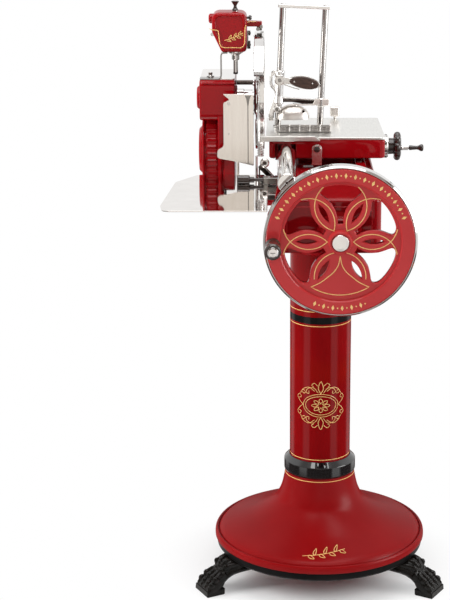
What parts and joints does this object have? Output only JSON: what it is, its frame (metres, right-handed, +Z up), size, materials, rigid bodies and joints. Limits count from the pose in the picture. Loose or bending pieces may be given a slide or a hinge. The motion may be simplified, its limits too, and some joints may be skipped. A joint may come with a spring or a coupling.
{
  "type": "hand crank meat slicer on pedestal",
  "caption": "Flywheel meat slicer with round blade, sliding carriage and table, sharpener and catch plate, on a cast pedestal with lion paw feet.",
  "frame": {"origin": "middle of the standing machine's bounding box, on the floor", "axes": "+Z up, +Y away from the flywheel side towards the blade and clamp side, +X towards the feed knob"},
  "size_m": [0.689, 0.8096, 1.4315],
  "materials": {
    "red_paint": "glossy red enamel with gold lining",
    "black_paint": "glossy black enamel with gold lining",
    "cast_black": "satin black casting",
    "chrome": "polished chrome",
    "steel": "satin steel",
    "bronze": "plain bearing bronze",
    "dark_grip": "dark brown to black moulding",
    "wood": "dark oiled hardwood",
    "stone": "dry abrasive stone"
  },
  "bodies": {
    "stand": {"base_disc": "red_paint", "base_ring": "black_paint", "foot_front_left": "cast_black", "foot_front_right": "cast_black", "foot_rear": "cast_black", "lower_collar": "black_paint", "column": "red_paint", "machine_base": "red_paint", "shaft_bush": "bronze", "drive_housing": "red_paint", "upper_cover": "red_paint", "lower_cover": "red_paint", "drive_chain": "steel", "spindle_bush": "chrome", "blade_guard": "chrome", "receiving_plate": "steel", "deflector": "chrome", "sharpener_case": "red_paint", "sharpener_bracket": "chrome", "bracket_thumb_screw": "chrome", "plunger_guide": "chrome", "sharpening_stones": "stone", "guide_rail": "chrome"},
    "flywheel_unit": {"flywheel": "red_paint", "flywheel_rim": "chrome", "flywheel_shaft": "chrome", "crank_pin": "chrome", "bevel_wheel": "steel"},
    "crank_handle": {"crank_grip": "dark_grip"},
    "cross_drive": {"cross_shaft": "steel", "bevel_pinion": "steel", "drive_sprocket": "steel"},
    "blade_unit": {"blade_spindle": "steel", "blade": "steel", "blade_hub": "chrome", "blade_sprocket": "steel"},
    "carriage": {"carriage_body": "red_paint", "carriage_lip": "chrome", "strap_bracket": "steel", "strap_bolt": "dark_grip"},
    "roller": {"carriage_roller": "steel"},
    "table": {"meat_table": "steel", "left_post": "chrome", "right_post": "chrome", "clamp_top_bar": "chrome", "clamp_comb": "steel", "stop_knob": "chrome"},
    "feed": {"feed_screw": "steel", "hand_knob": "dark_grip", "grip_stub": "chrome"},
    "spinner": {"spinner_grip": "dark_grip"},
    "index": {"index_collar": "chrome"},
    "clamp": {"clamp_head": "chrome", "clamp_shoe": "chrome"},
    "lever": {"clamp_lever": "steel", "lever_scales": "wood"},
    "lift": {"plunger": "chrome", "top_knob": "dark_grip"},
    "button": {"side_button": "dark_grip"},
    "release": {"release_knob": "dark_grip"}
  },
  "joints": [
    {"name": "flywheel_spin", "type": "hinge", "parent": "stand", "child": "flywheel_unit", "pos_m": [0.06947, -0.3292, 0.941], "axis": [0, 1, 0], "continuous": true},
    {"name": "crank_grip_spin", "type": "hinge", "parent": "flywheel_unit", "child": "crank_handle", "pos_m": [-0.08344, -0.3692, 0.93566], "axis": [0, 1, 0], "continuous": true},
    {"name": "cross_shaft_spin", "type": "hinge", "parent": "stand", "child": "cross_drive", "pos_m": [-0.06653, 0.2208, 0.941], "axis": [1, 0, 0], "continuous": true},
    {"name": "blade_spin", "type": "hinge", "parent": "stand", "child": "blade_unit", "pos_m": [-0.12353, 0.2208, 1.185], "axis": [1, 0, 0], "continuous": true},
    {"name": "carriage_slide", "type": "slide", "parent": "stand", "child": "carriage", "axis": [0, 1, 0], "range_m": [-0.29, 0]},
    {"name": "roller_spin", "type": "hinge", "parent": "carriage", "child": "roller", "pos_m": [0.13347, 0.1908, 1.0493], "axis": [1, 0, 0], "range_deg": [-5, 1390]},
    {"name": "table_feed", "type": "slide", "parent": "carriage", "child": "table", "axis": [1, 0, 0], "range_m": [0, 0.15]},
    {"name": "feed_turn", "type": "hinge", "parent": "carriage", "child": "feed", "pos_m": [0.21347, 0.2528, 1.054], "axis": [1, 0, 0], "range_deg": [-5, 5405]},
    {"name": "spinner_spin", "type": "hinge", "parent": "feed", "child": "spinner", "pos_m": [0.27847, 0.2288, 1.054], "axis": [1, 0, 0], "continuous": true},
    {"name": "index_turn", "type": "hinge", "parent": "carriage", "child": "index", "pos_m": [0.20347, 0.2528, 1.054], "axis": [1, 0, 0], "range_deg": [0, 270]},
    {"name": "clamp_slide", "type": "slide", "parent": "table", "child": "clamp", "axis": [0.0436, 0, 0.999], "range_m": [-0.01, 0.15]},
    {"name": "lever_swing", "type": "hinge", "parent": "clamp", "child": "lever", "pos_m": [-0.06816, 0.2388, 1.22624], "axis": [0, 1, 0], "range_deg": [-30, 25]},
    {"name": "sharpener_lift", "type": "slide", "parent": "stand", "child": "lift", "axis": [0, 0, 1], "range_m": [0, 0.01]},
    {"name": "button_press", "type": "slide", "parent": "stand", "child": "button", "axis": [-1, 0, 0], "range_m": [0, 0.003], "stiffness_N_per_m": 400, "springref_m": -0.001},
    {"name": "release_turn", "type": "hinge", "parent": "stand", "child": "release", "pos_m": [-0.15653, 0.0148, 1.015], "axis": [1, 0, 0], "range_deg": [0, 90]}
  ],
  "couplings": [
    {"joint": "cross_shaft_spin", "follows": "flywheel_spin", "ratio": -2.5},
    {"joint": "blade_spin", "follows": "flywheel_spin", "ratio": -5},
    {"joint": "roller_spin", "follows": "carriage_slide", "rad_per_m": -83.333},
    {"joint": "feed_turn", "follows": "table_feed", "rad_per_m": 628.32}
  ]
}
